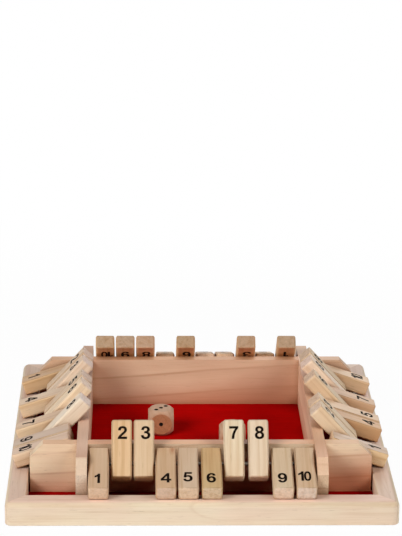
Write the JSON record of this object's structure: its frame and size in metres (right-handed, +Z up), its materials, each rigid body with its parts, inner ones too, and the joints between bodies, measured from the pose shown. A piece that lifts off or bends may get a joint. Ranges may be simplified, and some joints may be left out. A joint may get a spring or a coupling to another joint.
{
  "type": "shut the box game",
  "caption": "Square wooden tray with crossed walls round a red dice pit, rows of number tiles hinged on metal rods along its sides, and wooden dice.",
  "frame": {"origin": "centre of the underside of the tray, on the surface that it stands on", "axes": "+Z up, -Y towards the front row of tiles as pictured, +X to the right of the player who sits at the front"},
  "size_m": [0.2268, 0.2268, 0.0486],
  "materials": {
    "pine_frame": "clear matt varnish",
    "pine_wall": "clear matt varnish",
    "pine_tile": "clear matt varnish",
    "die_wood": "bare, smooth",
    "red_paint": "matt red paint over wood",
    "steel_rod": "bright drawn wire"
  },
  "bodies": {
    "tray": {"base_board": "red_paint", "frame_rail_front": "pine_frame", "frame_rail_right": "pine_frame", "frame_rail_back": "pine_frame", "frame_rail_left": "pine_frame", "wall_front": "pine_wall", "wall_right": "pine_wall", "wall_back": "pine_wall", "wall_left": "pine_wall", "rod_front": "steel_rod", "rod_right": "steel_rod", "rod_back": "steel_rod", "rod_left": "steel_rod"},
    "tile_front_1": {"tile_front_1": "pine_tile"},
    "tile_front_2": {"tile_front_2": "pine_tile"},
    "tile_front_3": {"tile_front_3": "pine_tile"},
    "tile_front_4": {"tile_front_4": "pine_tile"},
    "tile_front_5": {"tile_front_5": "pine_tile"},
    "tile_front_6": {"tile_front_6": "pine_tile"},
    "tile_front_7": {"tile_front_7": "pine_tile"},
    "tile_front_8": {"tile_front_8": "pine_tile"},
    "tile_front_9": {"tile_front_9": "pine_tile"},
    "tile_front_10": {"tile_front_10": "pine_tile"},
    "tile_right_1": {"tile_right_1": "pine_tile"},
    "tile_right_2": {"tile_right_2": "pine_tile"},
    "tile_right_3": {"tile_right_3": "pine_tile"},
    "tile_right_4": {"tile_right_4": "pine_tile"},
    "tile_right_5": {"tile_right_5": "pine_tile"},
    "tile_right_6": {"tile_right_6": "pine_tile"},
    "tile_right_7": {"tile_right_7": "pine_tile"},
    "tile_right_8": {"tile_right_8": "pine_tile"},
    "tile_right_9": {"tile_right_9": "pine_tile"},
    "tile_right_10": {"tile_right_10": "pine_tile"},
    "tile_back_1": {"tile_back_1": "pine_tile"},
    "tile_back_2": {"tile_back_2": "pine_tile"},
    "tile_back_3": {"tile_back_3": "pine_tile"},
    "tile_back_4": {"tile_back_4": "pine_tile"},
    "tile_back_5": {"tile_back_5": "pine_tile"},
    "tile_back_6": {"tile_back_6": "pine_tile"},
    "tile_back_7": {"tile_back_7": "pine_tile"},
    "tile_back_8": {"tile_back_8": "pine_tile"},
    "tile_back_9": {"tile_back_9": "pine_tile"},
    "tile_back_10": {"tile_back_10": "pine_tile"},
    "tile_left_1": {"tile_left_1": "pine_tile"},
    "tile_left_2": {"tile_left_2": "pine_tile"},
    "tile_left_3": {"tile_left_3": "pine_tile"},
    "tile_left_4": {"tile_left_4": "pine_tile"},
    "tile_left_5": {"tile_left_5": "pine_tile"},
    "tile_left_6": {"tile_left_6": "pine_tile"},
    "tile_left_7": {"tile_left_7": "pine_tile"},
    "tile_left_8": {"tile_left_8": "pine_tile"},
    "tile_left_9": {"tile_left_9": "pine_tile"},
    "tile_left_10": {"tile_left_10": "pine_tile"},
    "die_a": {"die_a": "die_wood"},
    "die_b": {"die_b": "die_wood"}
  },
  "joints": [
    {"name": "tile_front_1_flip", "type": "hinge", "parent": "tray", "child": "tile_front_1", "pos_m": [-0.05985, -0.08592, 0.0269], "axis": [-1, 0, 0], "range_deg": [0, 151.14]},
    {"name": "tile_front_2_flip", "type": "hinge", "parent": "tray", "child": "tile_front_2", "pos_m": [-0.04655, -0.08592, 0.0269], "axis": [-1, 0, 0], "range_deg": [-151.14, 0]},
    {"name": "tile_front_3_flip", "type": "hinge", "parent": "tray", "child": "tile_front_3", "pos_m": [-0.03364, -0.08592, 0.0269], "axis": [-1, 0, 0], "range_deg": [-151.14, 0]},
    {"name": "tile_front_4_flip", "type": "hinge", "parent": "tray", "child": "tile_front_4", "pos_m": [-0.02099, -0.08592, 0.0269], "axis": [-1, 0, 0], "range_deg": [0, 151.14]},
    {"name": "tile_front_5_flip", "type": "hinge", "parent": "tray", "child": "tile_front_5", "pos_m": [-0.00808, -0.08592, 0.0269], "axis": [-1, 0, 0], "range_deg": [0, 151.14]},
    {"name": "tile_front_6_flip", "type": "hinge", "parent": "tray", "child": "tile_front_6", "pos_m": [0.00548, -0.08592, 0.0269], "axis": [-1, 0, 0], "range_deg": [0, 151.14]},
    {"name": "tile_front_7_flip", "type": "hinge", "parent": "tray", "child": "tile_front_7", "pos_m": [0.01878, -0.08592, 0.0269], "axis": [-1, 0, 0], "range_deg": [-151.14, 0]},
    {"name": "tile_front_8_flip", "type": "hinge", "parent": "tray", "child": "tile_front_8", "pos_m": [0.03306, -0.08592, 0.0269], "axis": [-1, 0, 0], "range_deg": [-151.14, 0]},
    {"name": "tile_front_9_flip", "type": "hinge", "parent": "tray", "child": "tile_front_9", "pos_m": [0.04655, -0.08592, 0.0269], "axis": [-1, 0, 0], "range_deg": [0, 151.14]},
    {"name": "tile_front_10_flip", "type": "hinge", "parent": "tray", "child": "tile_front_10", "pos_m": [0.05985, -0.08592, 0.0269], "axis": [-1, 0, 0], "range_deg": [0, 151.14]},
    {"name": "tile_right_1_flip", "type": "hinge", "parent": "tray", "child": "tile_right_1", "pos_m": [0.08592, -0.05849, 0.0269], "axis": [0, -1, 0], "range_deg": [0, 151.14]},
    {"name": "tile_right_2_flip", "type": "hinge", "parent": "tray", "child": "tile_right_2", "pos_m": [0.08592, -0.04549, 0.0269], "axis": [0, -1, 0], "range_deg": [-151.14, 0]},
    {"name": "tile_right_3_flip", "type": "hinge", "parent": "tray", "child": "tile_right_3", "pos_m": [0.08592, -0.0325, 0.0269], "axis": [0, -1, 0], "range_deg": [-151.14, 0]},
    {"name": "tile_right_4_flip", "type": "hinge", "parent": "tray", "child": "tile_right_4", "pos_m": [0.08592, -0.0195, 0.0269], "axis": [0, -1, 0], "range_deg": [0, 151.14]},
    {"name": "tile_right_5_flip", "type": "hinge", "parent": "tray", "child": "tile_right_5", "pos_m": [0.08592, -0.0065, 0.0269], "axis": [0, -1, 0], "range_deg": [0, 151.14]},
    {"name": "tile_right_6_flip", "type": "hinge", "parent": "tray", "child": "tile_right_6", "pos_m": [0.08592, 0.0065, 0.0269], "axis": [0, -1, 0], "range_deg": [-151.14, 0]},
    {"name": "tile_right_7_flip", "type": "hinge", "parent": "tray", "child": "tile_right_7", "pos_m": [0.08592, 0.0195, 0.0269], "axis": [0, -1, 0], "range_deg": [0, 151.14]},
    {"name": "tile_right_8_flip", "type": "hinge", "parent": "tray", "child": "tile_right_8", "pos_m": [0.08592, 0.0325, 0.0269], "axis": [0, -1, 0], "range_deg": [-151.14, 0]},
    {"name": "tile_right_9_flip", "type": "hinge", "parent": "tray", "child": "tile_right_9", "pos_m": [0.08592, 0.04549, 0.0269], "axis": [0, -1, 0], "range_deg": [-151.14, 0]},
    {"name": "tile_right_10_flip", "type": "hinge", "parent": "tray", "child": "tile_right_10", "pos_m": [0.08592, 0.05849, 0.0269], "axis": [0, -1, 0], "range_deg": [0, 151.14]},
    {"name": "tile_back_1_flip", "type": "hinge", "parent": "tray", "child": "tile_back_1", "pos_m": [0.05849, 0.08592, 0.0269], "axis": [1, 0, 0], "range_deg": [-151.14, 0]},
    {"name": "tile_back_2_flip", "type": "hinge", "parent": "tray", "child": "tile_back_2", "pos_m": [0.04549, 0.08592, 0.0269], "axis": [1, 0, 0], "range_deg": [0, 151.14]},
    {"name": "tile_back_3_flip", "type": "hinge", "parent": "tray", "child": "tile_back_3", "pos_m": [0.0325, 0.08592, 0.0269], "axis": [1, 0, 0], "range_deg": [-151.14, 0]},
    {"name": "tile_back_4_flip", "type": "hinge", "parent": "tray", "child": "tile_back_4", "pos_m": [0.0195, 0.08592, 0.0269], "axis": [1, 0, 0], "range_deg": [0, 151.14]},
    {"name": "tile_back_5_flip", "type": "hinge", "parent": "tray", "child": "tile_back_5", "pos_m": [0.0065, 0.08592, 0.0269], "axis": [1, 0, 0], "range_deg": [0, 151.14]},
    {"name": "tile_back_6_flip", "type": "hinge", "parent": "tray", "child": "tile_back_6", "pos_m": [-0.0065, 0.08592, 0.0269], "axis": [1, 0, 0], "range_deg": [-151.14, 0]},
    {"name": "tile_back_7_flip", "type": "hinge", "parent": "tray", "child": "tile_back_7", "pos_m": [-0.0195, 0.08592, 0.0269], "axis": [1, 0, 0], "range_deg": [0, 151.14]},
    {"name": "tile_back_8_flip", "type": "hinge", "parent": "tray", "child": "tile_back_8", "pos_m": [-0.0325, 0.08592, 0.0269], "axis": [1, 0, 0], "range_deg": [-151.14, 0]},
    {"name": "tile_back_9_flip", "type": "hinge", "parent": "tray", "child": "tile_back_9", "pos_m": [-0.04549, 0.08592, 0.0269], "axis": [1, 0, 0], "range_deg": [-151.14, 0]},
    {"name": "tile_back_10_flip", "type": "hinge", "parent": "tray", "child": "tile_back_10", "pos_m": [-0.05849, 0.08592, 0.0269], "axis": [1, 0, 0], "range_deg": [-151.14, 0]},
    {"name": "tile_left_1_flip", "type": "hinge", "parent": "tray", "child": "tile_left_1", "pos_m": [-0.08592, 0.0598, 0.0269], "axis": [0, 1, 0], "range_deg": [0, 151.14]},
    {"name": "tile_left_2_flip", "type": "hinge", "parent": "tray", "child": "tile_left_2", "pos_m": [-0.08592, 0.04549, 0.0269], "axis": [0, 1, 0], "range_deg": [-151.14, 0]},
    {"name": "tile_left_3_flip", "type": "hinge", "parent": "tray", "child": "tile_left_3", "pos_m": [-0.08592, 0.0325, 0.0269], "axis": [0, 1, 0], "range_deg": [-151.14, 0]},
    {"name": "tile_left_4_flip", "type": "hinge", "parent": "tray", "child": "tile_left_4", "pos_m": [-0.08592, 0.0195, 0.0269], "axis": [0, 1, 0], "range_deg": [0, 151.14]},
    {"name": "tile_left_5_flip", "type": "hinge", "parent": "tray", "child": "tile_left_5", "pos_m": [-0.08592, 0.0065, 0.0269], "axis": [0, 1, 0], "range_deg": [-151.14, 0]},
    {"name": "tile_left_6_flip", "type": "hinge", "parent": "tray", "child": "tile_left_6", "pos_m": [-0.08592, -0.0065, 0.0269], "axis": [0, 1, 0], "range_deg": [-151.14, 0]},
    {"name": "tile_left_7_flip", "type": "hinge", "parent": "tray", "child": "tile_left_7", "pos_m": [-0.08592, -0.0195, 0.0269], "axis": [0, 1, 0], "range_deg": [0, 151.14]},
    {"name": "tile_left_8_flip", "type": "hinge", "parent": "tray", "child": "tile_left_8", "pos_m": [-0.08592, -0.0325, 0.0269], "axis": [0, 1, 0], "range_deg": [-151.14, 0]},
    {"name": "tile_left_9_flip", "type": "hinge", "parent": "tray", "child": "tile_left_9", "pos_m": [-0.08592, -0.04549, 0.0269], "axis": [0, 1, 0], "range_deg": [0, 151.14]},
    {"name": "tile_left_10_flip", "type": "hinge", "parent": "tray", "child": "tile_left_10", "pos_m": [-0.08592, -0.05849, 0.0269], "axis": [0, 1, 0], "range_deg": [0, 151.14]},
    {"name": "die_a_lift", "type": "slide", "parent": "tray", "child": "die_a", "axis": [0, 0, 1], "range_m": [0, 0.06]},
    {"name": "die_b_lift", "type": "slide", "parent": "tray", "child": "die_b", "axis": [0, 0, 1], "range_m": [0, 0.06]}
  ]
}
